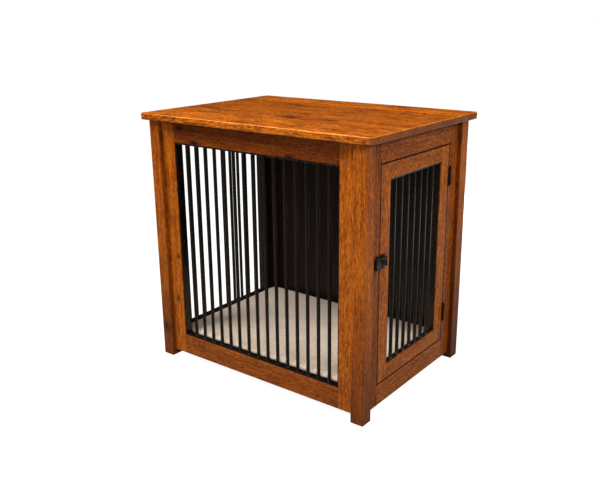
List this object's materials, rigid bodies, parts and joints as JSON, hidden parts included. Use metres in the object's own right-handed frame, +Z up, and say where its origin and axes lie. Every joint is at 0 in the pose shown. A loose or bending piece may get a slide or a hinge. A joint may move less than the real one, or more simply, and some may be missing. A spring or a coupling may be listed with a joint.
{
  "type": "dog crate end table",
  "caption": "Wooden end table that encloses a pet crate, with barred openings, a hinged barred door with a turn latch, and a pad on a raised floor.",
  "frame": {"origin": "on the ground, under the middle of the top", "axes": "+Z up, -Y the wide barred side, +X the end with the door, +Y the closed back"},
  "size_m": [0.768, 0.55, 0.736],
  "materials": {
    "tabletop_wood": "satin stained hardwood",
    "frame_wood": "satin stained hardwood",
    "door_wood": "satin stained hardwood",
    "inner_wood": "matt stained hardwood, in shadow",
    "black_steel": "satin black",
    "pad_fabric": "pale woven cover"
  },
  "bodies": {
    "crate": {"tabletop_board_1": "tabletop_wood", "tabletop_board_2": "tabletop_wood", "tabletop_board_3": "tabletop_wood", "tabletop_board_4": "tabletop_wood", "tabletop_board_5": "tabletop_wood", "leg_front_left": "frame_wood", "leg_front_right": "frame_wood", "leg_back_left": "frame_wood", "leg_back_right": "frame_wood", "front_left_stile": "frame_wood", "front_right_stile": "frame_wood", "front_bottom_rail": "frame_wood", "front_top_rail": "frame_wood", "front_grille": "black_steel", "left_front_stile": "frame_wood", "left_back_stile": "frame_wood", "left_bottom_rail": "frame_wood", "left_top_rail": "frame_wood", "left_grille": "black_steel", "back_left_stile": "frame_wood", "back_right_stile": "frame_wood", "back_bottom_rail": "frame_wood", "back_top_rail": "frame_wood", "back_panel": "frame_wood", "right_front_stile": "frame_wood", "right_back_stile": "frame_wood", "right_bottom_rail": "frame_wood", "right_top_rail": "frame_wood", "door_stop_side": "inner_wood", "door_stop_top": "inner_wood", "hinge_upper_frame_leaf": "black_steel", "hinge_upper_pin": "black_steel", "hinge_lower_frame_leaf": "black_steel", "hinge_lower_pin": "black_steel", "latch_keeper": "black_steel", "floor_panel": "inner_wood", "floor_cleat_front": "inner_wood", "floor_cleat_back": "inner_wood", "floor_cleat_left": "inner_wood", "floor_cleat_right": "inner_wood", "top_cleat_front": "inner_wood", "top_cleat_back": "inner_wood", "top_cleat_left": "inner_wood", "top_cleat_right": "inner_wood", "pad": "pad_fabric"},
    "door": {"door_latch_stile": "door_wood", "door_hinge_stile": "door_wood", "door_bottom_rail": "door_wood", "door_top_rail": "door_wood", "door_grille": "black_steel", "hinge_upper_door_leaf": "black_steel", "hinge_lower_door_leaf": "black_steel", "latch_back_plate": "black_steel", "latch_case": "black_steel"},
    "thumb_turn": {"latch_thumb_turn": "black_steel", "latch_spindle": "black_steel"},
    "bolt": {"latch_bolt": "black_steel"}
  },
  "joints": [
    {"name": "door_swing", "type": "hinge", "parent": "crate", "child": "door", "pos_m": [0.3553, 0.176, 0.367], "axis": [0, 0, 1], "range_deg": [0, 165]},
    {"name": "latch_turn", "type": "hinge", "parent": "door", "child": "thumb_turn", "pos_m": [0.3592, -0.1633, 0.412], "axis": [1, 0, 0], "range_deg": [0, 80]},
    {"name": "latch_bolt_slide", "type": "slide", "parent": "door", "child": "bolt", "axis": [0, -1, 0], "range_m": [0, 0.008]}
  ],
  "couplings": [
    {"joint": "latch_bolt_slide", "follows": "latch_turn", "m_per_rad": 0.0057085}
  ]
}
